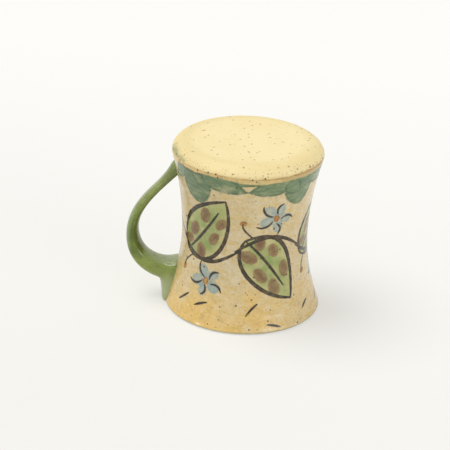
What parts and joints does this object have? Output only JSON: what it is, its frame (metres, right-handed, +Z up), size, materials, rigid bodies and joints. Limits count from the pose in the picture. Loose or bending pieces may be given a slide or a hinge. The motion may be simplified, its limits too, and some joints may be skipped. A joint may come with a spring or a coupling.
{
  "type": "handmade mug",
  "caption": "Waisted hand-thrown stoneware mug with flared rim and base, pulled loop handle and glaze coats, standing mouth down on its rim",
  "frame": {"origin": "on the surface that the rim stands on, below the middle of the whole mug's box, handle included", "axes": "+Z is up through the base, with the mouth down as the mug is pictured; -X is the side of the handle; the handle's plane is XZ"},
  "size_m": [0.1128, 0.0896, 0.1],
  "materials": {
    "clay": "matt fired clay with iron specks",
    "cream_base": "satin cream slip with fine brown specks",
    "buff_glaze": "glossy clear glaze over mottled buff slip and brushed colours",
    "green_glaze": "glossy olive-green glaze, darker where it pools",
    "cream_glaze": "glossy cream liner glaze with fine specks"
  },
  "bodies": {
    "root": {"body_wall": "clay", "base_slab": "cream_base", "base_seam_coil": "clay", "handle_strap": "clay", "rim_end_joint": "green_glaze", "base_end_joint": "green_glaze", "liner_glaze": "cream_glaze", "wall_glaze": "buff_glaze", "handle_glaze": "green_glaze"}
  },
  "joints": []
}
